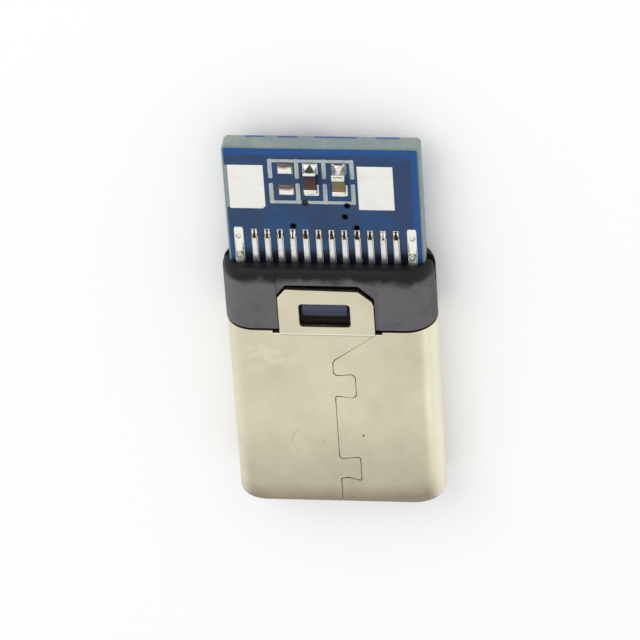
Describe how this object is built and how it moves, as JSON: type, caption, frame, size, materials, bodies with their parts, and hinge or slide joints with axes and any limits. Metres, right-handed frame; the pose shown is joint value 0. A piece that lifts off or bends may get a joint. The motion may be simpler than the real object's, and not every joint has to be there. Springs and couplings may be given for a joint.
{
  "type": "usb-c plug",
  "caption": "Reversible plug on a paddle board: folded dovetailed metal shell, black rear housing, spring contacts and open solder lands for wires.",
  "frame": {"origin": "centre of the mating face, on the plug's mid-plane", "axes": "+Y from the mating nose to the board's end, +X across the plug, +Z out of the broad face that carries the wire lands; it lies on its other broad face"},
  "size_m": [0.0084, 0.0161, 0.0024],
  "materials": {
    "shell_metal": "satin nickel over rolled steel",
    "housing_plastic": "satin moulded black",
    "insulator_plastic": "moulded black",
    "contact_metal": "plated and tinned",
    "spring_steel": "bright",
    "film": "amber film",
    "board": "blue solder mask on glass laminate",
    "solder": "bright tin",
    "resistor_body": "black glaze",
    "capacitor_body": "tan ceramic"
  },
  "bodies": {
    "root": {"shell": "shell_metal", "rear_housing": "housing_plastic", "front_insulator": "insulator_plastic", "upper_contact_block": "insulator_plastic", "lower_contact_block": "insulator_plastic", "latch_plate": "spring_steel", "upper_ground_spring": "spring_steel", "lower_ground_spring": "spring_steel", "upper_film": "film", "lower_film": "film", "board": "board", "board_lands": "solder", "solder_joints": "solder", "resistor": "resistor_body", "capacitor": "capacitor_body", "upper_contact_1": "contact_metal", "upper_contact_2": "contact_metal", "upper_contact_3": "contact_metal", "upper_contact_4": "contact_metal", "upper_contact_5": "contact_metal", "upper_contact_6": "contact_metal", "upper_contact_7": "contact_metal", "upper_contact_8": "contact_metal", "upper_contact_9": "contact_metal", "upper_contact_10": "contact_metal", "upper_contact_11": "contact_metal", "upper_contact_12": "contact_metal", "lower_contact_1": "contact_metal", "lower_contact_2": "contact_metal", "lower_contact_3": "contact_metal", "lower_contact_4": "contact_metal", "lower_contact_5": "contact_metal", "lower_contact_6": "contact_metal", "lower_contact_7": "contact_metal", "lower_contact_8": "contact_metal", "lower_contact_9": "contact_metal", "lower_contact_10": "contact_metal", "lower_contact_11": "contact_metal", "lower_contact_12": "contact_metal"}
  },
  "joints": []
}
